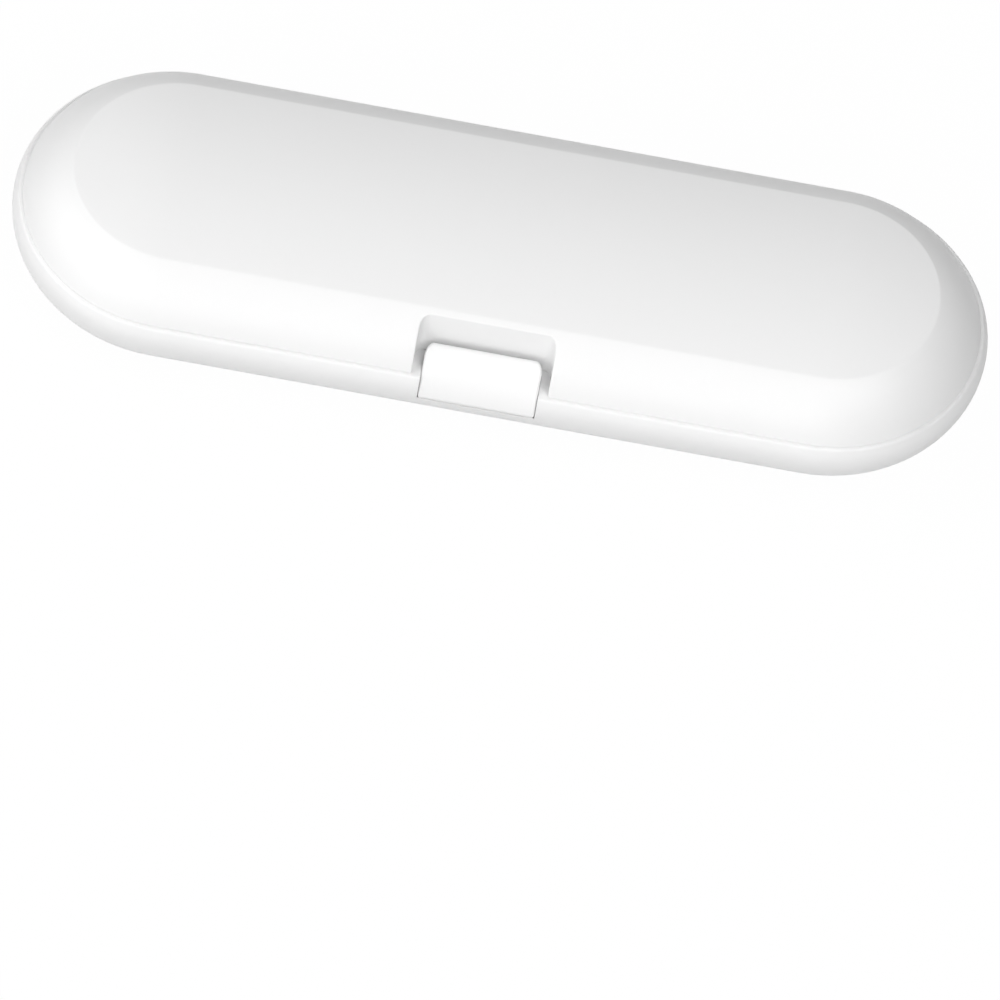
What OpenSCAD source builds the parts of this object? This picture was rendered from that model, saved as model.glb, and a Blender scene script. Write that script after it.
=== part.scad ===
// Travel case for an electric toothbrush: two moulded shells hinged along the back edge,
// a snap latch in a finger pocket at the front, and a drop-in tray for the handle and two heads.
// X runs along the case, the latch faces -Y, the hinge is at +Y, and Z is up from the table.

/* [Case] */
// Overall length, end to end
case_length = 215.8; // [205:0.5:240]
// Overall width, across the widest band of the lower shell
case_width = 71.8; // [70:0.2:76]
// Height of the lower shell, from the table to its rim
base_height = 20; // [19:0.5:24]
// Height of the lid, from the rim to the top of its crown
lid_height = 13.5; // [13:0.1:15]
// Wall of both shells
wall = 1.8; // [1.4:0.1:2.2]

/* [Lower shell section] */
// Radius of the bulging band below the rim
band_radius = 13.4; // [13:0.1:14]
// Depth of the widest line below the rim
band_drop = 3.9; // [3.5:0.1:4.2]
// Radius of the turn from the band to the flat bottom
bottom_radius = 19.9; // [19.5:0.1:21]
// Radius of the rim's outer edge
rim_round = 0.6; // [0.3:0.1:0.8]

/* [Lid section] */
// Ledge of the rim that shows outside the lid, measured from the widest line
lid_inset = 2.15; // [2:0.05:2.6]
// Radius of the lid's convex side wall
lid_wall_radius = 20; // [19:0.5:22]
// Lean of the side wall from the vertical where it leaves the rim, in degrees
lid_lean = 19; // [17:1:20]
// Height of the crease above the rim, where the side meets the crowned top
crease_height = 11.4; // [11:0.1:11.8]
// Radius that softens the crease
crease_round = 2; // [0.5:0.1:3]
// Radius of the lid's lower outer edge
lid_edge_round = 0.4; // [0.2:0.1:0.6]
// Thickness of the ribs inside the lid that hold the handle down
rib_thickness = 1.4; // [1:0.1:2]
// Distance of the two outer ribs from the middle
rib_spacing = 58; // [45:1:64]
// Gap between the ends of the ribs and the rim, which leaves room for the lid's swing
rib_end_gap = 2.5; // [2:0.1:4]

/* [Rim] */
// Height of the tongue that lines the lid up
tongue_height = 2; // [1.2:0.1:2.4]
// Thickness of the tongue
tongue_thickness = 1.4; // [1:0.1:1.6]
// Gap between the tongue and the inside of the lid
tongue_gap = 0.35; // [0.25:0.05:0.5]
// Width of the ledge that carries the tray
ledge_width = 1.7; // [1.2:0.1:2]
// Thickness of the ledge
ledge_thickness = 1.4; // [1:0.1:1.8]

/* [Latch] */
// Width of the latch
latch_width = 25.7; // [22:0.1:30]
// Thickness of the latch plate, whose upper edge is fully round
latch_plate = 2; // [1.6:0.1:2.2]
// Radius of the latch's curved face
latch_skin = 20; // [18:0.5:24]
// Height of the latch's upper edge above the rim
latch_rise = 5.1; // [4.8:0.1:5.6]
// Depth of the latch's lower edge below the rim
latch_foot = 4.85; // [4.6:0.05:5.2]
// Reach of the latch's lower edge beyond the widest line of the lower shell
latch_proud = 0.3; // [0:0.05:0.6]
// Lean of the latch's face from the vertical at its lower edge, in degrees
latch_lean = 17; // [14:0.5:20]
// Radius of the latch's upper corners
latch_corner = 1.8; // [1:0.1:2.5]
// Distance of the latch pin behind the latch's lower edge
latch_pin_depth = 3.2; // [3:0.05:3.4]
// Depth of the lip's upper edge below the latch's lower edge
lip_drop = 1.5; // [1.3:0.1:2]
// Gap at each side of the latch in the lower shell
latch_side_gap = 0.15; // [0.1:0.05:0.5]
// Gap between the barrel and the lip in front of it
barrel_gap = 0.1; // [0.06:0.02:0.4]
// Gap at each side of the latch in the lid's pocket
pocket_side_gap = 2.2; // [1.8:0.1:3]
// Reach of the catch over the hook, which holds the lid shut
hook_grip = 0.8; // [0.5:0.1:1]
// Distance of the pocket's back wall behind the lid's lower edge
pocket_depth = 8.55; // [8.2:0.05:9]
// Radius of the pocket's upper corners
pocket_corner = 2.2; // [1.5:0.1:3]
// Diameter of the latch pin
latch_pin_d = 2; // [1.5:0.1:2.4]

/* [Hinge] */
// Distance of each hinge from the middle
hinge_spacing = 42; // [30:1:52]
// Width of the slot in the lower shell for one hinge lug
hinge_slot = 14; // [10:0.5:18]
// Gap at each side of a hinge lug
hinge_side_gap = 0.3; // [0.2:0.05:0.5]
// Radius of the hinge knuckles
hinge_barrel = 2.3; // [2:0.1:2.5]
// Depth of the hinge axis below the rim
hinge_drop = 5; // [4.5:0.1:5.5]
// Distance of the hinge axis outside the lid's lower edge
hinge_offset = 1.05; // [0.9:0.05:1.3]
// Diameter of the hinge pins
hinge_pin_d = 2; // [1.5:0.1:2.4]
// Length of a pin held in each side of its slot
pin_grip = 3; // [2.5:0.1:4]

/* [Tray] */
// Thickness of the tray
tray_wall = 1; // [0.8:0.1:1.2]
// Gap between the tray and the rim around it
tray_gap = 0.3; // [0.2:0.05:0.5]
// Diameter of the handle that the tray is shaped for
handle_d = 26.6; // [25:0.1:26.8]
// Distance from each end of the handle space to the end of the case
handle_end_gap = 17.9; // [16:0.1:32]
// Distance of the handle space behind the middle
handle_offset = 9.8; // [9:0.1:10]
// Width of one brush head space
head_width = 15; // [12:0.5:15]
// Distance from the outer end of a brush head space to the end of the case
head_end_gap = 22.8; // [22:0.1:34]
// Depth of a brush head space below the rim
head_depth = 14; // [10:0.5:14.5]
// Depth of the hollow where a finger reaches under the handle
finger_depth = 9; // [7:0.5:12]

/* [Hidden] */
$fn = 96;
arc_step = 4;
eps = 0.01;
overcut = 1;

shell_white = [0.93, 0.93, 0.93];
tray_white = [0.86, 0.87, 0.88];
pin_steel = [0.68, 0.69, 0.71];

pin_press = 0.015;
pin_running = 0.06;

// Lower shell: the band's arc and the bottom's arc touch, and the bottom's arc touches the table
straight = case_length - case_width;
band_centre = [case_width / 2 - band_radius, base_height - band_drop];
turn_gap = bottom_radius - band_radius;
turn_rise = bottom_radius - band_centre[1];
bottom_centre = [band_centre[0] - sqrt(pow(turn_gap, 2) - pow(turn_rise, 2)), bottom_radius];
turn_angle = -asin(turn_rise / turn_gap);

// Lid: the side wall's arc starts at the rim with its lean, and the crown joins the crease to the top
lid_edge = case_width / 2 - lid_inset;
lid_centre = [lid_edge - lid_wall_radius * cos(lid_lean), base_height - lid_wall_radius * sin(lid_lean)];
crease_z = base_height + crease_height;
crease_r = lid_centre[0] + sqrt(pow(lid_wall_radius, 2) - pow(crease_z - lid_centre[1], 2));
crown_sag = lid_height - crease_height;
crown_radius = (pow(crease_r, 2) + pow(crown_sag, 2)) / (2 * crown_sag);
crown_centre = [0, base_height + lid_height - crown_radius];

// Rim: the tongue follows the lid's inside, and the ledge lies inside the tongue
tongue_root = 0.8;
tongue_bevel = 0.4;
tongue_radius = lid_wall_radius - wall - tongue_gap;
tongue_inner = arc_reach(lid_centre, tongue_radius - tongue_thickness, base_height);
ledge_inner = tongue_inner - ledge_width;
ledge_top = base_height - tray_wall;
ledge_bottom = ledge_top - ledge_thickness;
ledge_taper = 3;

// The ribs step up over the tongue and the brush heads
rib_clearance = 0.5;
rib_step = base_height + tongue_height + rib_clearance;
head_room = 5;

// Latch: its face is one arc from the lower edge up, and the barrel's arc ends in the lower edge
latch_edge = [case_width / 2 + latch_proud, base_height - latch_foot];
latch_centre = latch_edge - latch_skin * [cos(latch_lean), sin(latch_lean)];
latch_axis = [latch_edge[0] - latch_pin_depth, base_height - band_drop];
latch_barrel = norm(latch_edge - latch_axis);
lip_top = latch_edge[1] - lip_drop;
latch_top = base_height + latch_rise;
nose = latch_plate / 2;
nose_centre = [arc_reach(latch_centre, latch_skin - nose, latch_top - nose), latch_top - nose];
nose_turn = bearing(latch_centre, nose_centre);
latch_slot = latch_width + 2 * latch_side_gap;
latch_root = 0.6 * latch_barrel;
housing_wall = 1.5;
cell_gap = 1;
pocket_width = latch_width + 2 * pocket_side_gap;
pocket_back = lid_edge - pocket_depth;
pocket_wall = 1.5;
shelf_side_gap = 0.6;
shelf_back_gap = 0.4;
shelf_width = pocket_width + 2 * (pocket_wall + shelf_side_gap);
shelf_inner = pocket_back - pocket_wall - shelf_back_gap;
latch_cell = latch_axis[0] - latch_barrel - cell_gap;
latch_pin_reach = latch_slot / 2 + pin_grip;
pin_end_wall = 0.6;
latch_housing = latch_slot + 2 * (pin_grip + pin_end_wall);

// The catch on the lid and the hook on the latch
catch_rise = 0.3;
catch_thickness = 1.1;
catch_bevel = 0.3;
catch_end_gap = 4;
catch_low = base_height + catch_rise;
catch_high = catch_low + catch_thickness;
catch_width = latch_width - 2 * catch_end_gap;
hook_gap = 0.12;
hook_thickness = 1.2;
hook_length = 1;
hook_bevel = 0.5;
hook_low = catch_high + hook_gap;
hook_high = hook_low + hook_thickness;
hook_root = arc_reach(latch_centre, latch_skin - latch_plate, hook_high);
hook_tip = hook_root - hook_length;
catch_tip = hook_tip + hook_grip;

// Hinge
hinge_axis = [lid_edge + hinge_offset, base_height - hinge_drop];
hinge_cell_wall = 1.2;
hinge_cell_gap = 0.5;
hinge_cell_inner = tongue_inner + hinge_cell_wall;
hinge_cell_floor = hinge_axis[1] - hinge_barrel - hinge_cell_gap;
hinge_housing = hinge_slot + 2 * (pin_grip + pin_end_wall);
hinge_pin_length = hinge_slot + 2 * pin_grip;
lug_width = hinge_slot - 2 * hinge_side_gap;
lug_root = 0.8;
lug_edge = 0.6;
lug_angles = [40, 170];

// Tray
tray_reach = tongue_inner - tray_gap;
tray_floor_gap = 0.2;
handle_gap = 0.3;
handle_end_round = 7;
handle_radius = handle_d / 2 + handle_gap;
handle_z = wall + tray_floor_gap + tray_wall + handle_radius;
handle_space = case_length - 2 * handle_end_gap;
head_shelf_gap = 0.6;
head_handle_walls = 2.4;
head_start = shelf_width / 2 + tray_gap + tray_wall + head_shelf_gap;
head_end = case_length / 2 - head_end_gap;
head_y = handle_offset - handle_radius - head_handle_walls * tray_wall - head_width / 2;
finger_margin = 3;
finger_corner = 4;
finger_overlap = 1;

function arc_reach(centre, radius, z) = centre[0] + sqrt(pow(radius, 2) - pow(z - centre[1], 2));

function arc(centre, radius, from, to) =
    let (steps = max(2, ceil(abs(to - from) / arc_step)))
    [for (i = [0:steps]) let (a = from + (to - from) * i / steps)
        centre + radius * [cos(a), sin(a)]];

// The crossing of two circles that lies further out
function crossing(c0, r0, c1, r1) =
    let (d = norm(c1 - c0), along = (d * d + r0 * r0 - r1 * r1) / (2 * d), u = (c1 - c0) / d,
         side = sqrt(r0 * r0 - along * along), mid = c0 + along * u,
         a = mid + side * [-u[1], u[0]], b = mid - side * [-u[1], u[0]])
    a[0] > b[0] ? a : b;

function bearing(centre, point) = atan2(point[1] - centre[1], point[0] - centre[0]);

// Half sections, with the distance from the middle first and the height second
function base_section(inset) =
    let (edge = max(rim_round - inset, 0.05), z = base_height - edge,
         edge_r = arc_reach(band_centre, band_radius - inset - edge, z), edge_centre = [edge_r, z],
         start = bearing(band_centre, edge_centre))
    concat([[0, inset]],
           arc(bottom_centre, bottom_radius - inset, -90, turn_angle),
           arc(band_centre, band_radius - inset, turn_angle, start),
           arc(edge_centre, edge, start, 90),
           [[0, base_height]]);

function cavity_section() =
    let (low = ledge_bottom - ledge_taper, inside = band_radius - wall,
         stop = asin((low - band_centre[1]) / inside))
    concat([[0, wall]],
           arc(bottom_centre, bottom_radius - wall, -90, turn_angle),
           arc(band_centre, inside, turn_angle, stop),
           [[ledge_inner, ledge_bottom], [ledge_inner, ledge_top], [tongue_inner, ledge_top],
            [tongue_inner, base_height + eps], [0, base_height + eps]]);

function tongue_section() =
    let (top = base_height + tongue_height, inner = tongue_radius - tongue_thickness,
         low = base_height - tongue_root)
    concat([[tongue_inner, low], [arc_reach(lid_centre, tongue_radius, base_height), low]],
           arc(lid_centre, tongue_radius, bearing_at(lid_centre, tongue_radius, base_height),
               bearing_at(lid_centre, tongue_radius, top - tongue_bevel)),
           [[arc_reach(lid_centre, tongue_radius, top) - tongue_bevel, top],
            [arc_reach(lid_centre, inner, top), top], [tongue_inner, base_height]]);

function bearing_at(centre, radius, z) = asin((z - centre[1]) / radius);

function lid_section() =
    let (z = base_height + lid_edge_round,
         edge = [arc_reach(lid_centre, lid_wall_radius - lid_edge_round, z), z],
         crease = crossing(lid_centre, lid_wall_radius - crease_round,
                           crown_centre, crown_radius - crease_round),
         start = bearing(lid_centre, edge), stop = bearing(lid_centre, crease),
         crown = bearing(crown_centre, crease))
    concat([[0, base_height]],
           arc(edge, lid_edge_round, -90, start),
           arc(lid_centre, lid_wall_radius, start, stop),
           arc(crease, crease_round, stop, crown),
           arc(crown_centre, crown_radius, crown, 90));

function lid_cavity_section(inset) =
    let (inner = lid_wall_radius - inset, top = crown_radius - inset,
         corner = crossing(lid_centre, inner, crown_centre, top))
    concat([[0, base_height - overcut],
            [arc_reach(lid_centre, inner, base_height), base_height - overcut]],
           arc(lid_centre, inner, bearing_at(lid_centre, inner, base_height), bearing(lid_centre, corner)),
           [for (p = arc(crown_centre, top, bearing(crown_centre, corner), 90))
               if (p[0] < corner[0] - eps) p]);

// Sweeps a half section round the stadium outline of the case
module stadium_sweep(points) {
    meets_middle = min([for (p = points) p[0]]) < eps;
    far_side = [for (i = [len(points) - 1:-1:0]) if (points[i][0] > eps) [-points[i][0], points[i][1]]];
    for (side = [0, 180])
        rotate([0, 0, side])
            translate([straight / 2, 0, 0])
                rotate([0, 0, -90])
                    rotate_extrude(angle = 180)
                        polygon(points);
    rotate([90, 0, 90])
        linear_extrude(height = straight, center = true)
            if (meets_middle) {
                polygon(concat(points, far_side));
            } else {
                polygon(points);
                polygon(far_side);
            }
}

// Extrudes a section drawn on the front side, with the distance from the middle towards -Y
module front_section(width) {
    rotate([90, 0, -90])
        linear_extrude(height = width, center = true)
            children();
}

module back_section(width) {
    rotate([90, 0, 90])
        linear_extrude(height = width, center = true)
            children();
}

module front_block(width, inner, outer, low, high) {
    translate([-width / 2, -outer, low])
        cube([width, outer - inner, high - low]);
}

module back_block(width, inner, outer, low, high) {
    translate([-width / 2, inner, low])
        cube([width, outer - inner, high - low]);
}

module cross_pin(length, diameter, y, z) {
    translate([-length / 2, y, z])
        rotate([0, 90, 0])
            cylinder(h = length, d = diameter);
}

module at_hinges() {
    for (side = [-1, 1])
        translate([side * hinge_spacing, 0, 0])
            children();
}

// Solid stuff behind the wall that encloses the latch cell and the hinge cells
module rim_housings() {
    intersection() {
        union() {
            front_block(latch_housing, latch_cell - housing_wall, case_width / 2,
                        latch_axis[1] - latch_barrel - barrel_gap - housing_wall, base_height);
            front_block(shelf_width, shelf_inner, case_width / 2, base_height - wall, base_height);
            at_hinges()
                back_block(hinge_housing, tongue_inner, case_width / 2,
                           hinge_cell_floor - housing_wall, base_height);
        }
        stadium_sweep(base_section(wall / 2));
    }
}

module hinge_knuckles() {
    at_hinges()
        cross_pin(hinge_housing, 2 * hinge_barrel, hinge_axis[0], hinge_axis[1]);
}

module latch_recess() {
    front_block(latch_slot, latch_cell, case_width, latch_axis[1], base_height + eps);
    front_block(latch_slot, latch_cell, latch_axis[0], latch_axis[1] - latch_barrel - barrel_gap,
                latch_axis[1] + eps);
    front_block(latch_slot, latch_axis[0], case_width, lip_top, latch_axis[1] + eps);
    cross_pin(latch_slot, 2 * (latch_barrel + barrel_gap), -latch_axis[0], latch_axis[1]);
}

module hinge_recesses() {
    at_hinges()
        back_block(hinge_slot, hinge_cell_inner, case_width, hinge_cell_floor,
                   base_height + tongue_height);
}

module lower_shell() {
    color(shell_white)
        difference() {
            union() {
                difference() {
                    stadium_sweep(base_section(0));
                    stadium_sweep(cavity_section());
                }
                difference() {
                    stadium_sweep(tongue_section());
                    front_block(shelf_width, 0, case_width, base_height, base_height + case_width);
                }
                rim_housings();
                hinge_knuckles();
            }
            latch_recess();
            hinge_recesses();
            cross_pin(2 * latch_pin_reach, latch_pin_d + 2 * pin_press, -latch_axis[0], latch_axis[1]);
            at_hinges()
                cross_pin(hinge_pin_length, hinge_pin_d + 2 * pin_press, hinge_axis[0], hinge_axis[1]);
        }
}

// Upright prism of the finger pocket, open to the front, with round inner corners
module pocket_prism(grow) {
    half = pocket_width / 2 + grow;
    back = pocket_back - grow;
    corner = pocket_corner + grow;
    translate([0, 0, base_height - grow])
        linear_extrude(height = lid_height + grow)
            polygon(concat([[-half, -case_width / 2], [half, -case_width / 2]],
                           arc([half - corner, -back - corner], corner, 0, 90),
                           arc([-half + corner, -back - corner], corner, 90, 180)));
}

module pocket_walls() {
    intersection() {
        pocket_prism(pocket_wall);
        translate([-case_length / 2, -case_width / 2, base_height])
            cube([case_length, case_width, lid_height]);
        stadium_sweep(lid_cavity_section(wall / 2));
    }
}

module lid_ribs() {
    intersection() {
        difference() {
            for (x = [-rib_spacing, 0, rib_spacing])
                translate([x - rib_thickness / 2, -case_width / 2, base_height + overcut])
                    cube([rib_thickness, case_width, lid_height]);
            rotate([90, 0, 90])
                linear_extrude(height = straight, center = true)
                    translate([handle_offset, handle_z])
                        circle(r = handle_radius);
            translate([0, head_y, base_height])
                cube([straight, head_width, 2 * head_room], center = true);
            front_block(shelf_width, 0, case_width, 0, base_height + lid_height);
            stadium_sweep([[tongue_inner - rib_end_gap, base_height - overcut],
                           [case_width, base_height - overcut], [case_width, rib_step],
                           [tongue_inner - rib_end_gap, rib_step]]);
        }
        stadium_sweep(lid_cavity_section(wall / 2));
    }
}

module hinge_lug() {
    y = hinge_axis[0];
    z = hinge_axis[1];
    lip = arc_reach(lid_centre, lid_wall_radius - wall, base_height) + eps;
    back_section(lug_width) {
        translate([y, z])
            circle(r = hinge_barrel);
        polygon([[lip, base_height + lug_root], [lid_edge - lug_edge, base_height + lug_root],
                 [lid_edge, base_height],
                 [y + hinge_barrel * cos(lug_angles[0]), z + hinge_barrel * sin(lug_angles[0])], [y, z],
                 [y + hinge_barrel * cos(lug_angles[1]), z + hinge_barrel * sin(lug_angles[1])],
                 [lip, base_height - lug_root]]);
    }
}

module upper_shell() {
    color(shell_white)
        difference() {
            union() {
                difference() {
                    stadium_sweep(lid_section());
                    stadium_sweep(lid_cavity_section(wall));
                }
                pocket_walls();
                lid_ribs();
                at_hinges()
                    hinge_lug();
            }
            translate([0, 0, -overcut])
                pocket_prism(0);
            pocket_prism(0);
            at_hinges()
                cross_pin(hinge_slot, hinge_pin_d + 2 * pin_running, hinge_axis[0], hinge_axis[1]);
        }
    color(shell_white)
        front_section(catch_width)
            polygon([[pocket_back - pocket_wall / 2, catch_low], [catch_tip, catch_low],
                     [catch_tip, catch_high - catch_bevel], [catch_tip - catch_bevel, catch_high],
                     [pocket_back - pocket_wall / 2, catch_high]]);
}

// Section of the latch: barrel, curved plate and hook, with the distance from the middle first
module latch_section() {
    inner = latch_skin - latch_plate;
    polygon(concat(arc(latch_axis, latch_barrel, -180, bearing(latch_axis, latch_edge)),
                   arc(latch_centre, latch_skin, latch_lean, nose_turn),
                   arc(nose_centre, nose, nose_turn, nose_turn + 180),
                   arc(latch_centre, inner, nose_turn, bearing_at(latch_centre, inner, hook_high)),
                   [[hook_tip + hook_bevel, hook_high], [hook_tip, hook_high - hook_bevel],
                    [hook_tip, hook_low]],
                   arc(latch_centre, inner, bearing_at(latch_centre, inner, hook_low),
                       bearing_at(latch_centre, inner, latch_axis[1] + latch_root))));
}

module latch_face() {
    corner = latch_corner;
    polygon(concat([[-latch_width / 2, 0], [latch_width / 2, 0]],
                   arc([latch_width / 2 - corner, latch_top - corner], corner, 0, 90),
                   arc([-latch_width / 2 + corner, latch_top - corner], corner, 90, 180)));
}

module latch() {
    color(shell_white)
        difference() {
            intersection() {
                front_section(latch_width)
                    latch_section();
                translate([0, -overcut, 0])
                    rotate([90, 0, 0])
                        linear_extrude(height = case_width)
                            latch_face();
            }
            cross_pin(latch_slot, latch_pin_d + 2 * pin_running, -latch_axis[0], latch_axis[1]);
        }
}

module latch_pin() {
    color(pin_steel)
        cross_pin(2 * latch_pin_reach, latch_pin_d, -latch_axis[0], latch_axis[1]);
}

module hinge_pin(side) {
    color(pin_steel)
        translate([side * hinge_spacing, 0, 0])
            cross_pin(hinge_pin_length, hinge_pin_d, hinge_axis[0], hinge_axis[1]);
}

module hinge_pin_left() {
    hinge_pin(-1);
}

module hinge_pin_right() {
    hinge_pin(1);
}

// Space for the handle: a round bar with blunt, rounded ends
module handle_bar(grow) {
    radius = handle_radius + grow;
    half = handle_space / 2 + grow;
    end = handle_end_round;
    translate([0, handle_offset, handle_z])
        rotate([0, 90, 0])
            rotate_extrude()
                polygon(concat([[0, -half]],
                               arc([radius - end, -half + end], end, -90, 0),
                               arc([radius - end, half - end], end, 0, 90),
                               [[0, half]]));
}

module head_space(side, grow) {
    radius = head_width / 2 + grow;
    from = head_start + head_width / 2;
    to = head_end - head_width / 2;
    floor_z = base_height - head_depth - grow;
    translate([0, head_y, floor_z])
        linear_extrude(height = base_height - floor_z)
            polygon(concat(arc([side > 0 ? to : -from, 0], radius, -90, 90),
                           arc([side > 0 ? from : -to, 0], radius, 90, 270)));
}

// Hollow in the middle where a finger reaches under the handle
module finger_space(grow) {
    half = head_start - 2 * tray_wall - finger_margin + grow;
    floor_z = base_height - finger_depth - grow;
    corner = finger_corner + grow;
    y = head_y - head_width / 2 + finger_overlap - grow;
    translate([0, 0, floor_z])
        linear_extrude(height = base_height - floor_z)
            polygon(concat(arc([-half + corner, y + corner], corner, 180, 270),
                           arc([half - corner, y + corner], corner, 270, 360),
                           [[half, handle_offset], [-half, handle_offset]]));
}

module tray_forms(grow) {
    handle_bar(grow);
    head_space(-1, grow);
    head_space(1, grow);
    finger_space(grow);
}

module inner_tray() {
    color(tray_white)
        difference() {
            union() {
                stadium_sweep([[0, ledge_top], [tray_reach, ledge_top], [tray_reach, base_height],
                               [0, base_height]]);
                intersection() {
                    tray_forms(tray_wall);
                    translate([-case_length / 2, -case_width / 2, 0])
                        cube([case_length, case_width, base_height - tray_wall / 2]);
                }
            }
            tray_forms(0);
            front_block(shelf_width + 2 * tray_gap, shelf_inner - tray_gap, case_width, 0, 2 * base_height);
        }
}

lower_shell();
upper_shell();
latch();
latch_pin();
hinge_pin_left();
hinge_pin_right();
inner_tray();
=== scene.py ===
import math

import bmesh
import bpy
import numpy as np
from mathutils import Matrix, Vector


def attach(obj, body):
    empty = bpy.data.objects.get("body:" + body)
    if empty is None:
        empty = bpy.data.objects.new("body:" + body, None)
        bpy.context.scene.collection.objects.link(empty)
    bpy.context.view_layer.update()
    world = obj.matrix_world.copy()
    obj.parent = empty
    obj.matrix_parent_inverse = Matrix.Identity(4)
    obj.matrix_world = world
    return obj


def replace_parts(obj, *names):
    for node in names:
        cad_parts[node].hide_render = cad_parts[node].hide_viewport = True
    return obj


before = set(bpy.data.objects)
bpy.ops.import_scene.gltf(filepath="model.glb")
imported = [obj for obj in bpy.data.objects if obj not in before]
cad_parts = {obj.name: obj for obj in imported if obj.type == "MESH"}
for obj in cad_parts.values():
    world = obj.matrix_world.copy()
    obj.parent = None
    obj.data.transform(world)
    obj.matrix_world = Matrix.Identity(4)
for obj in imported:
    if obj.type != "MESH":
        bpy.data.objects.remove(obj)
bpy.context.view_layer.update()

MM = 0.001

# Camera: a long lens, 55 degrees above the table, rolled as the case lies in the picture
VIEW_ELEVATION = math.radians(55)
VIEW_ROLL = math.radians(10.25)
LENS = 800
SENSOR = 36
PIXEL = 0.2184 * MM
CASE_AT = (500, 272.5)
RIM_DROP = 12
PICTURE = 1000

# Sizes in millimetres, as in the frame: a point of a half section is (distance from the middle,
# height)
STRAIGHT = 144.0
RIM_Z = 20.0
TOP_Z = 33.5
WALL = 1.8
BAND_CENTRE = (22.5, 16.1)
BAND_RADIUS = 13.4
RIM_EDGE = 34.75
RIM_ROUND = 0.6

LID_EDGE = 34.05
LID_RADIUS = 20.0
LID_LEAN = math.radians(19.5)
LID_CENTRE = (LID_EDGE - LID_RADIUS * math.cos(LID_LEAN), RIM_Z - LID_RADIUS * math.sin(LID_LEAN))
LID_EDGE_ROUND = 0.2
CREASE_Z = 31.4
CREASE_ROUND = 2.0
ROOF_TURN = 0.8
AXIS_GAP = 0.8

POCKET_HALF = 15.05
POCKET_BACK = 25.2
POCKET_CORNER = 2.2
POCKET_WALL = 1.5
POCKET_SOFT = 0.4
POCKET_INNER_SOFT = 0.3
POCKET_DRAFT = math.tan(math.radians(10))
EASE_SHARE = 0.8
EASE_WAY = 0.45
LEAST_TILT = 0.3

LATCH_HALF = 12.93
LATCH_SKIN = 20.0
LATCH_PLATE = 2.0
LATCH_TOP = 25.1
LATCH_EDGE = (36.2, 15.15)
LATCH_LEAN = math.radians(17)
LATCH_AXIS = (33.0, 16.1)
LATCH_CORNER = 1.8
LATCH_SOFT = 0.65
BARREL_SNUG = 0.05
BARREL_SHARE = 0.6
BARREL_BREAK = 0.06
SKIN_BREAK = 0.008

CATCH = (20.3, 21.4)
CATCH_TIP = 28.8
CATCH_HALF = 8.85
CATCH_BEVEL = 0.3
HOOK = (21.52, 22.72)
HOOK_TIP = 28.0
HOOK_BEVEL = 0.5
HOOK_SIDE = 0.5
HOOK_ROOT = 1.2

HINGE_X = 42.0
HINGE_AXIS = (34.8, 15.0)
HINGE_BARREL = 2.3
BARREL_TURN = (math.radians(45), math.radians(-190))
LUG_HALF = 6.7
LUG_ROOT = 0.8
LUG_SEAT = 0.05
LUG_INSET = 0.6
LUG_LIP = 0.1
LUG_RIM_Z = 17.6

RIB_X = (-58.0, 0.0, 58.0)
RIB_HALF = 0.7
RIB_END = 27.45
RIB_STEP = 22.5
RIB_LOW = 1.0
RIB_START = 0.5
RIB_GAP = 0.01
RIB_JUMP = 0.05
HANDLE = (9.8, 16.6, 13.6)
HEAD = (-13.7, 7.5, 25.0)

SMALL_SOFT = 0.12
LUG_SOFT = 0.15
SHELL_SOFT = 0.2
TRAY_SOFT = 0.25
TINY = 1e-4

# Rows and steps of the meshes
SKIN_STEPS = 22
SOFT_STEPS = 5
SIDE_STEPS = 5
CORNER_STEPS = 9
BACK_STEPS = 10
CAP_STEPS = 80
REAR_STEPS = 40
LOWER_ROWS = 20
UPPER_ROWS = 15
SEARCH_STEPS = 4000
RIB_STEPS = 61

# Turns in degrees above which an edge stays sharp, and below which faces count as flat
SKIN_SHARP = 35
PRISM_SHARP = 30
SOLID_SHARP = 24
FLAT = 0.2

# Weights with which large faces lead the shading
SKIN_WEIGHT = 80
SOLID_WEIGHT = 90

# Lamps: compass angle from the front towards the right, height angle, and power in watts
LAMPS = {
    "lamp_front": (0, 22, 5.4),
    "lamp_front_left": (-45, 22, 4.4),
    "lamp_front_right": (45, 22, 0.6),
    "lamp_left": (-90, 22, 4.0),
    "lamp_high_right": (45, 52, 8.4),
    "lamp_high_left": (-90, 52, 3.4),
    "lamp_high_back_left": (-135, 52, 2.8),
    "lamp_high_back_right": (135, 52, 1.2),
}
LAMP_DISTANCE = 1.3
LAMP_SIZE = 0.9

# Floor: its half width in metres, and how white it stands to the camera and in a gloss
FLOOR_HALF = 6
FLOOR_GLOW = 0.98
FLOOR_GLEAM = 0.3


def reach(centre, radius, z):
    """Distance from the middle at which a circle's outer side stands at a height."""
    return centre[0] + math.sqrt(radius**2 - (z - centre[1]) ** 2)


def bearing(centre, point):
    """Turn of a point of a half section round a circle's centre."""
    return math.atan2(point[1] - centre[1], point[0] - centre[0])


def arc(centre, radius, start, stop, count):
    """Points along an arc of a half section, from one turn to another in radians."""
    turn = np.linspace(start, stop, count + 1)
    return np.stack([centre[0] + radius * np.cos(turn), centre[1] + radius * np.sin(turn)], 1)


def outer_crossing(centre_a, radius_a, centre_b, radius_b):
    """The outer one of the two points in which two circles meet."""
    a, b = np.array(centre_a), np.array(centre_b)
    gap = np.linalg.norm(b - a)
    along = (gap**2 + radius_a**2 - radius_b**2) / (2 * gap)
    unit = (b - a) / gap
    side = math.sqrt(radius_a**2 - along**2) * np.array([-unit[1], unit[0]])
    middle = a + along * unit
    return tuple(middle + side if (middle + side)[0] > (middle - side)[0] else middle - side)


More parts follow.
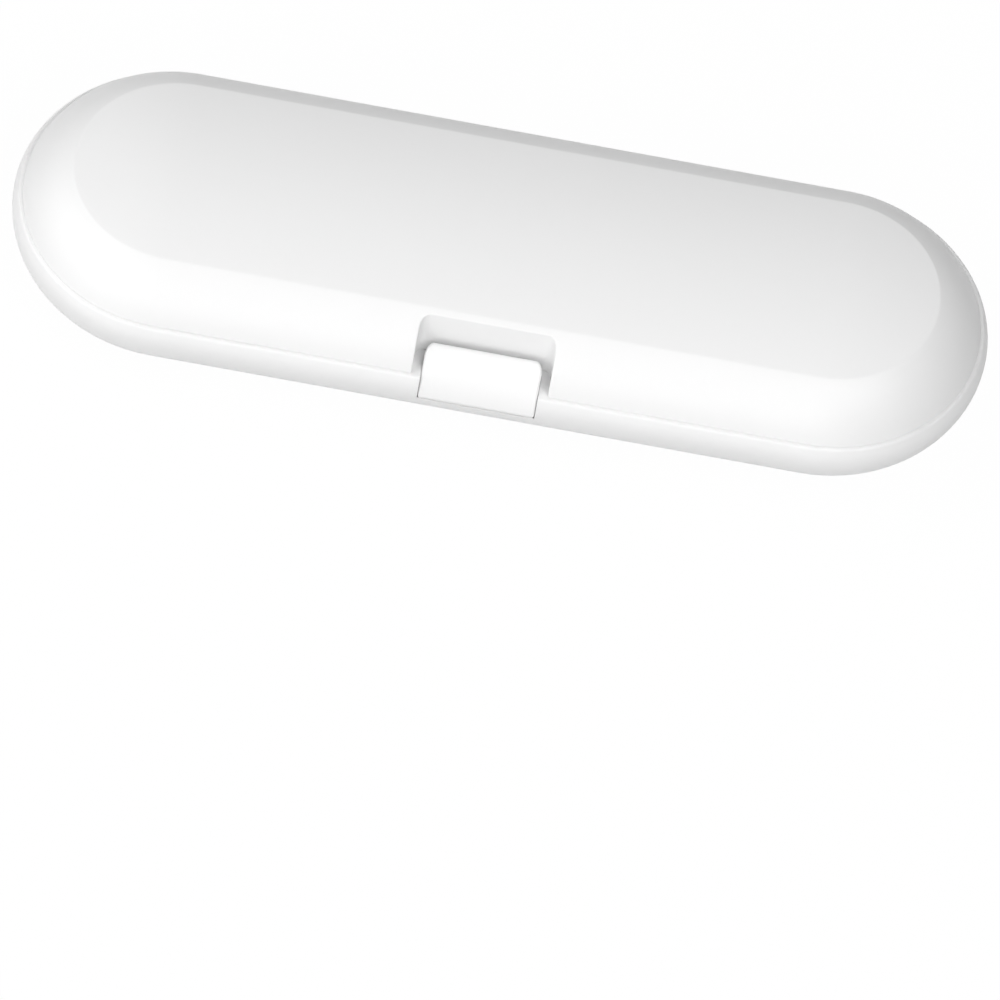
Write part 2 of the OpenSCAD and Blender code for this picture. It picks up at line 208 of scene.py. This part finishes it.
POCKET_TOP = LID_CENTRE[1] + math.sqrt(
    (LID_RADIUS - POCKET_SOFT) ** 2 - (POCKET_BACK - POCKET_SOFT - LID_CENTRE[0]) ** 2
)
CROWN_R = reach(LID_CENTRE, LID_RADIUS, CREASE_Z)
CROWN_SAG = TOP_Z - CREASE_Z
CROWN_RADIUS = (CROWN_R**2 + CROWN_SAG**2) / (2 * CROWN_SAG)
CROWN_CENTRE = (0.0, TOP_Z - CROWN_RADIUS)
LATCH_CENTRE = (
    LATCH_EDGE[0] - LATCH_SKIN * math.cos(LATCH_LEAN),
    LATCH_EDGE[1] - LATCH_SKIN * math.sin(LATCH_LEAN),
)


def put_in(name, data):
    """A new object in the scene."""
    made = bpy.data.objects.new(name, data)
    bpy.context.scene.collection.objects.link(made)
    return made


def even_shading(piece, weight):
    """Large faces lead the shading of the small ones beside them."""
    shade = piece.modifiers.new("weighted_normals", "WEIGHTED_NORMAL")
    shade.keep_sharp = True
    shade.weight = weight


def make_mesh(name, points, faces, body, finish, sharp=SKIN_SHARP, weigh=True):
    """A closed piece in millimetres, smooth except where it turns by more than sharp degrees."""
    mesh = bpy.data.meshes.new(name)
    mesh.from_pydata([tuple(p * MM for p in point) for point in points], [], faces)
    work = bmesh.new()
    work.from_mesh(mesh)
    bmesh.ops.remove_doubles(work, verts=work.verts, dist=1e-7)
    bmesh.ops.dissolve_degenerate(work, edges=work.edges, dist=1e-7)
    bmesh.ops.recalc_face_normals(work, faces=work.faces)
    for face in work.faces:
        face.smooth = True
    for edge in work.edges:
        edge.smooth = len(edge.link_faces) == 2 and edge.calc_face_angle() < math.radians(sharp)
    work.to_mesh(mesh)
    work.free()
    mesh.materials.append(finish)
    piece = put_in(name, mesh)
    if weigh:
        even_shading(piece, SKIN_WEIGHT)
    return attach(piece, body)


def loft(loops):
    """Points and faces of a closed skin over equal loops, with flat ends."""
    count = len(loops[0])
    points = [tuple(point) for loop in loops for point in loop]
    faces = []
    for row in range(len(loops) - 1):
        for column in range(count):
            after = (column + 1) % count
            faces.append((
                row * count + column, row * count + after,
                (row + 1) * count + after, (row + 1) * count + column,
            ))
    faces.append(tuple(range(count)))
    faces.append(tuple(range((len(loops) - 1) * count, len(loops) * count)))
    return points, faces


def between(start, stop, count):
    return [tuple(row) for row in np.linspace(start, stop, count + 1)[:-1]]


def pocket_path(reach_out, half, back, corner, soft, tilt):
    """Half of a row's way round the finger pocket, from its edge to the end of its corner."""
    depth = max(reach_out - back, 0)
    start = 0.0 if depth >= corner else math.asin(min((corner - depth) / corner, 1))
    centre = (half - corner, -(back + corner))
    edge = np.array([centre[0] + corner * math.cos(start), -reach_out])
    straight = max(depth - corner, 0)
    ease = min(soft, EASE_SHARE * depth)
    way = straight + corner * (math.pi / 2 - start)
    inward = min(ease / max(math.sin(tilt), LEAST_TILT), EASE_WAY * way)
    if inward <= straight:
        turned, low = start, inward
    else:
        turned, low = start + (inward - straight) / corner, straight
    arc_start = np.array([centre[0] + corner * math.cos(turned), centre[1] + corner * math.sin(turned)])
    on_skin = edge + np.array([ease, 0])
    on_side = arc_start if turned > start or straight == 0 else edge + np.array([0, low])
    path = []
    for step in range(SOFT_STEPS):
        t = step / SOFT_STEPS
        path.append((1 - t) ** 2 * on_skin + 2 * t * (1 - t) * edge + t**2 * on_side)
    path += between(on_side, arc_start, SIDE_STEPS)
    path += [tuple(p) for p in arc(centre, corner, turned, math.pi / 2, CORNER_STEPS)]
    return [tuple(p) for p in path]


def row_loop(r, z, pocket):
    """One level line of a shell round the stadium outline, with the finger pocket at the front."""
    path = pocket_path(r, *pocket)
    edge = path[0][0]
    half = STRAIGHT / 2
    line = between((-half, -r), (-edge, -r), SKIN_STEPS)
    line += [(-x, y) for x, y in path[:-1]]
    line += between((-path[-1][0], path[-1][1]), path[-1], BACK_STEPS)
    line += list(reversed(path[1:]))
    line += between((edge, -r), (half, -r), SKIN_STEPS)
    for side, turn in ((1, -math.pi / 2), (-1, math.pi / 2)):
        cap = arc((side * half, 0), r, turn, turn + math.pi, CAP_STEPS)[:-1]
        line += [tuple(p) for p in cap]
        if side > 0:
            line += between((half, r), (-half, r), REAR_STEPS)
    return [(x, y, z) for x, y in line]


def pocket_back(z):
    """The pocket's back wall leans a little, as the mould needs."""
    return POCKET_BACK + POCKET_DRAFT * max(POCKET_TOP - z, 0)


def tilt_at(z):
    """Angle of the lid's side from level at a height."""
    return math.acos(min(max((z - LID_CENTRE[1]) / LID_RADIUS, 0), 1))


def lid_rows():
    """Rows of the lid's outer skin from its lower edge to the top, each with its pocket."""
    edge_z = RIM_Z + LID_EDGE_ROUND
    edge_centre = (reach(LID_CENTRE, LID_RADIUS - LID_EDGE_ROUND, edge_z), edge_z)
    edge_turn = bearing(LID_CENTRE, edge_centre)
    crease = outer_crossing(
        LID_CENTRE, LID_RADIUS - CREASE_ROUND, CROWN_CENTRE, CROWN_RADIUS - CREASE_ROUND
    )
    wall_turn = bearing(LID_CENTRE, crease)
    crown_turn = bearing(CROWN_CENTRE, crease)
    wall_low = LID_CENTRE[1] + LID_RADIUS * math.sin(edge_turn)
    wall_high = LID_CENTRE[1] + LID_RADIUS * math.sin(wall_turn)

    soft_centre = POCKET_BACK - POCKET_SOFT
    soft_turn = bearing(LID_CENTRE, (soft_centre, POCKET_TOP))
    soft_top = POCKET_TOP + POCKET_SOFT * math.sin(soft_turn)

    def back_at(z):
        rise = min(max(z, POCKET_TOP), soft_top) - POCKET_TOP
        return pocket_back(z) + math.sqrt(POCKET_SOFT**2 - rise**2) - POCKET_SOFT

    heights = np.linspace(wall_low + 1, soft_top, SEARCH_STEPS)
    depths = np.array([reach(LID_CENTRE, LID_RADIUS, z) - back_at(z) for z in heights])
    turns = np.radians(np.linspace(90, 0, UPPER_ROWS))
    wanted = POCKET_CORNER * (1 - np.cos(turns)) * 0.999 + 0.0008
    upper = np.interp(-wanted, -depths, heights)
    lower = np.linspace(wall_low, upper[0], LOWER_ROWS)[:-1]
    above = np.linspace(soft_top, wall_high, 4)

    rows = []
    for r, z in arc(edge_centre, LID_EDGE_ROUND, -math.pi / 2, edge_turn, 4)[:-1]:
        shrink = reach(LID_CENTRE, LID_RADIUS, max(z, RIM_Z)) - r
        pocket = (
            POCKET_HALF + shrink, pocket_back(z) - shrink, POCKET_CORNER + shrink, POCKET_SOFT,
            tilt_at(z),
        )
        rows.append((r, z, pocket))
    for z in [*lower, *upper, *above[1:]]:
        r = reach(LID_CENTRE, LID_RADIUS, z)
        back = back_at(z) if z < soft_top - 1e-3 else r
        rows.append((r, z, (POCKET_HALF, back, POCKET_CORNER, POCKET_SOFT, tilt_at(z))))
    top_turn = math.pi / 2 - AXIS_GAP / CROWN_RADIUS
    top = [*arc(crease, CREASE_ROUND, wall_turn, crown_turn, 6)[1:]]
    top += [*arc(CROWN_CENTRE, CROWN_RADIUS, crown_turn, top_turn, 18)[1:]]
    rows += [(r, z, (POCKET_HALF, r, POCKET_CORNER, 0, 1)) for r, z in top]
    return rows


def lid_inside_rows():
    """Rows of the lid's inner skin from the middle of its roof down to its lower edge."""
    inner = LID_RADIUS - WALL
    roof = CROWN_RADIUS - WALL
    half, corner = POCKET_HALF + POCKET_WALL, POCKET_CORNER + POCKET_WALL
    meet = outer_crossing(LID_CENTRE, inner - ROOF_TURN, CROWN_CENTRE, roof - ROOF_TURN)
    wall_turn, roof_turn = bearing(LID_CENTRE, meet), bearing(CROWN_CENTRE, meet)
    rows = []
    for r, z in arc(CROWN_CENTRE, roof, math.pi / 2 - AXIS_GAP / roof, roof_turn, 16):
        rows.append((r, z))
    rows += [tuple(p) for p in arc(meet, ROOF_TURN, roof_turn, wall_turn, 4)[1:]]
    low_turn = math.asin((RIM_Z - LID_CENTRE[1]) / inner)
    rows += [tuple(p) for p in arc(LID_CENTRE, inner, wall_turn, low_turn, 26)[1:]]
    return [
        (r, z, (half, min(pocket_back(z) - POCKET_WALL, r), corner, POCKET_INNER_SOFT, 1))
        for r, z in rows
    ]


class Wire:
    """A node's socket that takes part in sums."""

    def __init__(self, nodes, socket):
        self.nodes = nodes
        self.socket = socket

    def math(self, operation, first, second):
        return self.nodes.node("ShaderNodeMath", {"operation": operation}, {0: first, 1: second})

    def __add__(self, other):
        return self.math("ADD", self, other)

    __radd__ = __add__

    def __mul__(self, other):
        return self.math("MULTIPLY", self, other)

    __rmul__ = __mul__

    def __sub__(self, other):
        return self.math("SUBTRACT", self, other)

    def __rsub__(self, other):
        return self.math("SUBTRACT", other, self)


class Nodes:
    """A node tree that is put together node by node."""

    def __init__(self, tree):
        self.tree = tree

    def plug(self, socket, value):
        if isinstance(value, Wire):
            self.tree.links.new(value.socket, socket)
        else:
            socket.default_value = value

    def node(self, kind, settings=None, inputs=None, output=0):
        made = self.tree.nodes.new(kind)
        for name, value in (settings or {}).items():
            setattr(made, name, value)
        for name, value in (inputs or {}).items():
            self.plug(made.inputs[name], value)
        return Wire(self, made.outputs[output]) if made.outputs else None

    def rays(self, kind):
        """1 for the rays of one kind, such as Camera or Glossy, and 0 for the others."""
        return self.node("ShaderNodeLightPath", output=f"Is {kind} Ray")


class Finish(Nodes):
    """A material on the standard shader."""

    def __init__(self, name):
        self.material = bpy.data.materials.new(name)
        self.material.use_nodes = True
        super().__init__(self.material.node_tree)
        self.shader = self.tree.nodes["Principled BSDF"]
        self.output = self.tree.nodes["Material Output"]

    def set(self, **values):
        names = {"colour": "Base Color", "rough": "Roughness", "metal": "Metallic", "normal": "Normal"}
        for name, value in values.items():
            self.plug(self.shader.inputs[names[name]], value)

    def place(self):
        return self.node("ShaderNodeTexCoord", output="Object")

    def noise(self, scale, detail=2, rough=0.5, vector=None):
        return self.node("ShaderNodeTexNoise", None, {
            "Vector": vector or self.place(), "Scale": scale, "Detail": detail, "Roughness": rough,
        })

    def blend(self, factor, first, second):
        return self.node("ShaderNodeMix", {"data_type": "RGBA"}, {0: factor, 6: first, 7: second}, 2)

    def bump(self, height, strength, distance):
        return self.node("ShaderNodeBump", None, {
            "Height": height, "Strength": strength, "Distance": distance,
        })


def grey(level):
    return (level, level, level, 1)


def moulded_plastic(name, colour, shade, rough, spread, grain, depth):
    """Moulded plastic: slow changes of tone and gloss, and a fine skin left by the mould."""
    finish = Finish(name)
    cloud = finish.noise(18, 3)
    flow = finish.noise(55, 4, 0.6)
    skin = finish.noise(grain, 2, 0.55)
    speck = finish.noise(grain * 3.1, 1)
    finish.set(
        colour=finish.blend(cloud, shade, colour),
        rough=rough + (flow - 0.5) * spread,
        normal=finish.bump(skin * 0.7 + speck * 0.3, 1, depth * MM),
    )
    return finish.material


def drawn_steel(name):
    """Cut wire: lines drawn along its length."""
    finish = Finish(name)
    stretched = finish.node("ShaderNodeMapping", None, {
        "Vector": finish.place(), "Scale": (0.04, 1, 1),
    })
    lines = finish.noise(9000, 3, 0.6, stretched)
    finish.set(
        colour=finish.blend(lines, (0.42, 0.43, 0.45, 1), (0.62, 0.63, 0.65, 1)),
        rough=lines * 0.2 + 0.2,
        metal=1.0,
        normal=finish.bump(lines, 0.4, 0.01 * MM),
    )
    return finish.material


shell_white = moulded_plastic(
    "white_shell_plastic", colour=grey(0.845), shade=grey(0.825),
    rough=0.3, spread=0.05, grain=4200, depth=0.0004,
)
latch_white = moulded_plastic(
    "white_latch_plastic", colour=grey(0.86), shade=grey(0.845),
    rough=0.28, spread=0.02, grain=4600, depth=0.0003,
)
tray_white = moulded_plastic(
    "pale_tray_plastic", colour=(0.76, 0.77, 0.78, 1), shade=(0.72, 0.73, 0.74, 1),
    rough=0.52, spread=0.12, grain=2600, depth=0.01,
)
pin_steel = drawn_steel("drawn_pin_steel")


def lid_shell():
    rows = lid_inside_rows() + lid_rows()
    points, faces = loft([row_loop(*row) for row in rows])
    piece = make_mesh("lid_shell", points, faces, "lid", shell_white)
    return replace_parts(piece, "upper_shell")


def latch_flap():
    """The latch: a curved plate with a fully round upper edge on a barrel, soft along its sides."""
    nose = LATCH_PLATE / 2
    inner = LATCH_SKIN - LATCH_PLATE
    corner_start = LATCH_HALF - LATCH_CORNER
    soft_start = LATCH_HALF - LATCH_SOFT
    ends = np.concatenate([
        np.linspace(0, corner_start, 9)[:-1],
        corner_start + (LATCH_CORNER - LATCH_SOFT) * np.sin(np.radians(np.linspace(0, 90, 7)[:-1])),
        soft_start + LATCH_SOFT * np.sin(np.radians(np.linspace(0, 90, 8))),
    ])
    loops = []
    for x in [*(-ends[:0:-1]), *ends]:
        out = abs(x)
        inset = 0.0
        if out > soft_start:
            inset = LATCH_SOFT - math.sqrt(max(LATCH_SOFT**2 - (out - soft_start) ** 2, 0))
        drop = 0.0
        if out > corner_start:
            drop = LATCH_CORNER - math.sqrt(max(LATCH_CORNER**2 - (out - corner_start) ** 2, 0))
        tip = nose - inset
        tip_z = LATCH_TOP - nose - drop
        tip_centre = (reach(LATCH_CENTRE, LATCH_SKIN - nose, tip_z), tip_z)
        turn = bearing(LATCH_CENTRE, tip_centre)
        barrel = math.dist(LATCH_EDGE, LATCH_AXIS) + BARREL_SNUG - inset
        edge = outer_crossing(LATCH_AXIS, barrel, LATCH_CENTRE, LATCH_SKIN - inset)
        root_z = LATCH_AXIS[1] + BARREL_SHARE * barrel
        root = bearing(LATCH_CENTRE, (reach(LATCH_CENTRE, inner + inset, root_z), root_z))
        section = [
            *arc(LATCH_AXIS, barrel, -math.pi, bearing(LATCH_AXIS, edge) - BARREL_BREAK, 22),
            *arc(
                LATCH_CENTRE, LATCH_SKIN - inset, bearing(LATCH_CENTRE, edge) + SKIN_BREAK, turn, 26
            )[:-1],
            *arc(tip_centre, tip, turn, turn + math.pi, 16)[:-1],
            *arc(LATCH_CENTRE, inner + inset, turn, root, 20),
        ]
        loops.append([(x, -r, z) for r, z in section])
    points, faces = loft(loops)
    piece = make_mesh("latch_flap", points, faces, "latch", latch_white)
    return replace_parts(piece, "latch")


def soft_edges(piece, width, segments):
    edge = piece.modifiers.new("soft_edges", "BEVEL")
    edge.width = width * MM
    edge.segments = segments
    edge.limit_method = "ANGLE"
    edge.angle_limit = math.radians(SKIN_SHARP)
    return edge


def prism(name, outline, half, place, side, body, finish, soft=SMALL_SOFT):
    """A piece with one outline along the case: side is -1 at the front and 1 at the back."""
    count = len(outline)
    points = [(place + x, side * r, z) for x in (-half, half) for r, z in outline]
    faces = [(i, (i + 1) % count, count + (i + 1) % count, count + i) for i in range(count)]
    faces += [tuple(range(count)), tuple(range(count, 2 * count))]
    piece = make_mesh(name, points, faces, body, finish, PRISM_SHARP, False)
    edge = soft_edges(piece, soft, 3)
    edge.harden_normals = True


def lid_catch():
    low, high = CATCH
    root = pocket_back(high) - POCKET_WALL / 2
    outline = [
        (root, low), (CATCH_TIP, low), (CATCH_TIP, high - CATCH_BEVEL),
        (CATCH_TIP - CATCH_BEVEL, high), (root, high),
    ]
    prism("lid_catch", outline, CATCH_HALF, 0, -1, "lid", shell_white)


def latch_hook():
    low, high = HOOK
    inner = LATCH_SKIN - HOOK_ROOT
    outline = [
        (reach(LATCH_CENTRE, inner, high), high), (HOOK_TIP + HOOK_BEVEL, high),
        (HOOK_TIP, high - HOOK_BEVEL), (HOOK_TIP, low), (reach(LATCH_CENTRE, inner, low), low),
    ]
    prism("latch_hook", outline, LATCH_HALF - HOOK_SIDE, 0, -1, "latch", latch_white)


def rim_arc():
    """Centre and radius of the arc from the widest line up to the rim's edge."""
    lean, rise = BAND_CENTRE[0] + BAND_RADIUS - RIM_EDGE, RIM_Z - BAND_CENTRE[1]
    radius = (lean**2 + rise**2) / (2 * lean)
    return (RIM_EDGE + lean - radius, BAND_CENTRE[1]), radius


def rim_profile(count):
    """Half section of the band from the rim's upper edge down to the widest line."""
    centre, radius = rim_arc()
    edge_z = RIM_Z - RIM_ROUND
    edge = (reach(centre, radius - RIM_ROUND, edge_z), edge_z)
    start = bearing(centre, edge)
    line = [*arc(edge, RIM_ROUND, math.pi / 2, start, 8), *arc(centre, radius, start, 0, count)[1:]]
    return [tuple(p) for p in line]


def hinge_lugs():
    """The two lugs that carry the lid on its pins; they take up the rim's section on the way."""
    lip = reach(LID_CENTRE, LID_RADIUS - WALL, RIM_Z) + LUG_SEAT
    rim = [(r, z) for r, z in rim_profile(14) if z > LUG_RIM_Z]
    barrel = [tuple(p) for p in arc(HINGE_AXIS, HINGE_BARREL, *BARREL_TURN, 30)]
    outline = [
        (lip, RIM_Z + LUG_ROOT), (LID_EDGE - LUG_INSET, RIM_Z + LUG_ROOT), (LID_EDGE - LUG_LIP, RIM_Z),
        *rim, *barrel, (lip, RIM_Z - LUG_ROOT),
    ]
    for side, name in ((-1, "hinge_lug_left"), (1, "hinge_lug_right")):
        prism(name, outline, LUG_HALF, side * HINGE_X, 1, "lid", shell_white, LUG_SOFT)


def lid_ribs():
    """Ribs under the lid, cut to the handle and the heads, and clear of the latch at the front."""
    wall_in, roof_in = LID_RADIUS - WALL / 2, CROWN_RADIUS - WALL / 2

    def roof(y):
        z = CROWN_CENTRE[1] + math.sqrt(roof_in**2 - y**2)
        if abs(y) > LID_CENTRE[0]:
            z = min(z, LID_CENTRE[1] + math.sqrt(wall_in**2 - (abs(y) - LID_CENTRE[0]) ** 2))
        return z

    def floor(y):
        z = RIM_Z + RIB_LOW if abs(y) < RIB_END else RIB_STEP
        if abs(y - HANDLE[0]) < HANDLE[2]:
            z = max(z, HANDLE[1] + math.sqrt(HANDLE[2] ** 2 - (y - HANDLE[0]) ** 2))
        if abs(y - HEAD[0]) < HEAD[1]:
            z = max(z, HEAD[2])
        return z

    reach_out = reach(LID_CENTRE, wall_in, RIB_STEP) - RIB_GAP
    for x, name in zip(RIB_X, ("lid_rib_left", "lid_rib_middle", "lid_rib_right")):
        steps = {-reach_out, reach_out, -RIB_END, RIB_END, HEAD[0] - HEAD[1], HEAD[0] + HEAD[1]}
        steps |= set(np.linspace(-reach_out, reach_out, RIB_STEPS))
        steps |= {HANDLE[0] + HANDLE[2] * math.cos(math.radians(t)) for t in range(4, 180, 6)}
        if x == 0:
            steps = {y for y in steps if y > RIB_START}
        lower = []
        for y in sorted(steps):
            before, after = floor(y - TINY), floor(y + TINY)
            lower.append((y, before))
            if abs(after - before) > RIB_JUMP:
                lower.append((y, after))
        upper = [(y, roof(y)) for y in sorted(steps, reverse=True)]
        prism(name, lower + upper, RIB_HALF, x, 1, "lid", shell_white)


def smooth_group():
    """Geometry nodes that shade a solid smooth except over its sharp edges."""
    tree = bpy.data.node_groups.new("smooth_by_angle", "GeometryNodeTree")
    tree.interface.new_socket("Geometry", in_out="INPUT", socket_type="NodeSocketGeometry")
    tree.interface.new_socket("Geometry", in_out="OUTPUT", socket_type="NodeSocketGeometry")
    nodes = Nodes(tree)
    solid = nodes.node("NodeGroupInput")
    angle = nodes.node("GeometryNodeInputMeshEdgeAngle", output="Unsigned Angle")
    low = nodes.node(
        "FunctionNodeCompare", {"data_type": "FLOAT", "operation": "LESS_THAN"},
        {0: angle, 1: math.radians(SOLID_SHARP)},
    )
    faces = nodes.node("GeometryNodeSetShadeSmooth", {"domain": "FACE"}, {"Geometry": solid})
    edges = nodes.node(
        "GeometryNodeSetShadeSmooth", {"domain": "EDGE"}, {"Geometry": faces, "Shade Smooth": low}
    )
    nodes.node("NodeGroupOutput", None, {0: edges})
    return tree


SMOOTH = smooth_group()


def base_shell():
    """The lower shell's own solid, with its band drawn in a little towards the rim's edge."""
    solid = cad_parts["lower_shell"]
    mesh = solid.data.copy()
    mesh.transform(solid.matrix_world)
    mesh.materials.clear()
    mesh.materials.append(shell_white)
    centre, radius = rim_arc()
    work = bmesh.new()
    work.from_mesh(mesh)
    bmesh.ops.remove_doubles(work, verts=work.verts, dist=1e-6)
    for vert in work.verts:
        x, y, z = (value / MM for value in vert.co)
        hub = min(max(x, -STRAIGHT / 2), STRAIGHT / 2)
        r = math.hypot(x - hub, y)
        if z <= BAND_CENTRE[1] or r < LID_EDGE:
            continue
        outer = reach(BAND_CENTRE, BAND_RADIUS, min(z, RIM_Z))
        share = min((r - LID_EDGE) / (outer - LID_EDGE), 1)
        scale = 1 - share * (outer - reach(centre, radius, min(z, RIM_Z))) / r
        vert.co = Vector((hub + (x - hub) * scale, y * scale, z)) * MM
    work.to_mesh(mesh)
    work.free()
    piece = put_in("base_shell", mesh)
    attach(piece, "base")
    soften(piece, SHELL_SOFT)
    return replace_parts(piece, "lower_shell")


def dress_node(name, finish, soft):
    """A solid of the frame keeps its form: its edges are softened and it gets its finish."""
    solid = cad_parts[name]
    for slot in solid.material_slots:
        slot.material = finish
    soften(solid, soft)


def soften(solid, soft):
    """Soft edges and even shading for a solid of the frame."""
    weld = solid.modifiers.new("weld", "WELD")
    weld.merge_threshold = 1e-6
    flat = solid.modifiers.new("flat_faces", "DECIMATE")
    flat.decimate_type = "DISSOLVE"
    flat.angle_limit = math.radians(FLAT)
    soft_edges(solid, soft, 2)
    smooth = solid.modifiers.new("smooth", "NODES")
    smooth.node_group = SMOOTH
    even_shading(solid, SOLID_WEIGHT)


def make_camera():
    right = Vector((1, 0, 0))
    up = Vector((0, math.sin(VIEW_ELEVATION), math.cos(VIEW_ELEVATION)))
    back = Vector((0, -math.cos(VIEW_ELEVATION), math.sin(VIEW_ELEVATION)))
    across = math.cos(VIEW_ROLL) * right + math.sin(VIEW_ROLL) * up
    upward = -math.sin(VIEW_ROLL) * right + math.cos(VIEW_ROLL) * up
    centre = Vector((0, 0, RIM_Z * MM)) - RIM_DROP * PIXEL * up
    sideways = (PICTURE / 2 - CASE_AT[0]) * PIXEL
    lift = (CASE_AT[1] - PICTURE / 2) * PIXEL
    data = bpy.data.cameras.new("camera")
    data.lens = LENS
    data.sensor_width = SENSOR
    data.clip_start = 0.1
    data.clip_end = 50
    camera = put_in("camera", data)
    camera.matrix_world = Matrix((
        (across.x, upward.x, back.x, 0),
        (across.y, upward.y, back.y, 0),
        (across.z, upward.z, back.z, 0),
        (0, 0, 0, 1),
    ))
    distance = PICTURE * PIXEL * LENS / SENSOR
    camera.location = centre + sideways * across + lift * upward + back * distance
    bpy.context.scene.camera = camera


def make_lamps():
    """Round soft lamps; they light the plastic but don't show in its gloss."""
    for name, (compass, height, power) in LAMPS.items():
        compass, height = math.radians(compass), math.radians(height)
        data = bpy.data.lights.new(name, "AREA")
        data.shape = "DISK"
        data.size = LAMP_SIZE
        data.energy = power
        lamp = put_in(name, data)
        place = LAMP_DISTANCE * Vector((
            math.sin(compass) * math.cos(height), -math.cos(compass) * math.cos(height),
            math.sin(height),
        ))
        lamp.location = place
        lamp.visible_glossy = False
        lamp.rotation_mode = "QUATERNION"
        lamp.rotation_quaternion = place.to_track_quat("Z", "Y")


def make_world():
    """White where it is seen directly, in a gloss or through a clear piece; it lights nothing."""
    world = bpy.data.worlds.new("studio")
    bpy.context.scene.world = world
    world.use_nodes = True
    sky = Nodes(world.node_tree)
    camera, glossy, clear = (sky.rays(kind) for kind in ("Camera", "Glossy", "Transmission"))
    background = world.node_tree.nodes["Background"]
    background.inputs["Color"].default_value = grey(1)
    seen = camera.math("MAXIMUM", camera, glossy)
    sky.plug(background.inputs["Strength"], seen.math("MAXIMUM", seen, clear))


def make_floor():
    """A pale table that keeps the case's shadow and stands near white to the camera."""
    finish = Finish("studio_floor")
    cloud = finish.noise(6, 3)
    seen, mirrored = finish.rays("Camera"), finish.rays("Glossy")
    near = finish.blend(cloud, grey(0.94), grey(0.98))
    far = finish.blend(cloud, grey(0.46), grey(0.5))
    finish.set(colour=finish.blend(seen + mirrored, far, near), rough=cloud * 0.1 + 0.8)
    finish.plug(finish.output.inputs["Surface"], finish.node("ShaderNodeMixShader", None, {
        0: seen * FLOOR_GLOW + mirrored * FLOOR_GLEAM,
        1: Wire(finish, finish.shader.outputs[0]),
        2: finish.node("ShaderNodeEmission"),
    }))
    half = FLOOR_HALF
    data = bpy.data.meshes.new("studio_floor")
    data.from_pydata(
        [(-half, -half, 0), (half, -half, 0), (half, half, 0), (-half, half, 0)], [], [(0, 1, 2, 3)]
    )
    data.materials.append(finish.material)
    floor = put_in("studio_floor", data)


lid_shell()
lid_catch()
hinge_lugs()
lid_ribs()
latch_flap()
latch_hook()
base_shell()
dress_node("inner_tray", tray_white, TRAY_SOFT)
for pin in ("latch_pin", "hinge_pin_left", "hinge_pin_right"):
    dress_node(pin, pin_steel, SMALL_SOFT)

make_camera()
make_lamps()
make_world()
make_floor()
bpy.context.scene.view_settings.view_transform = "Standard"
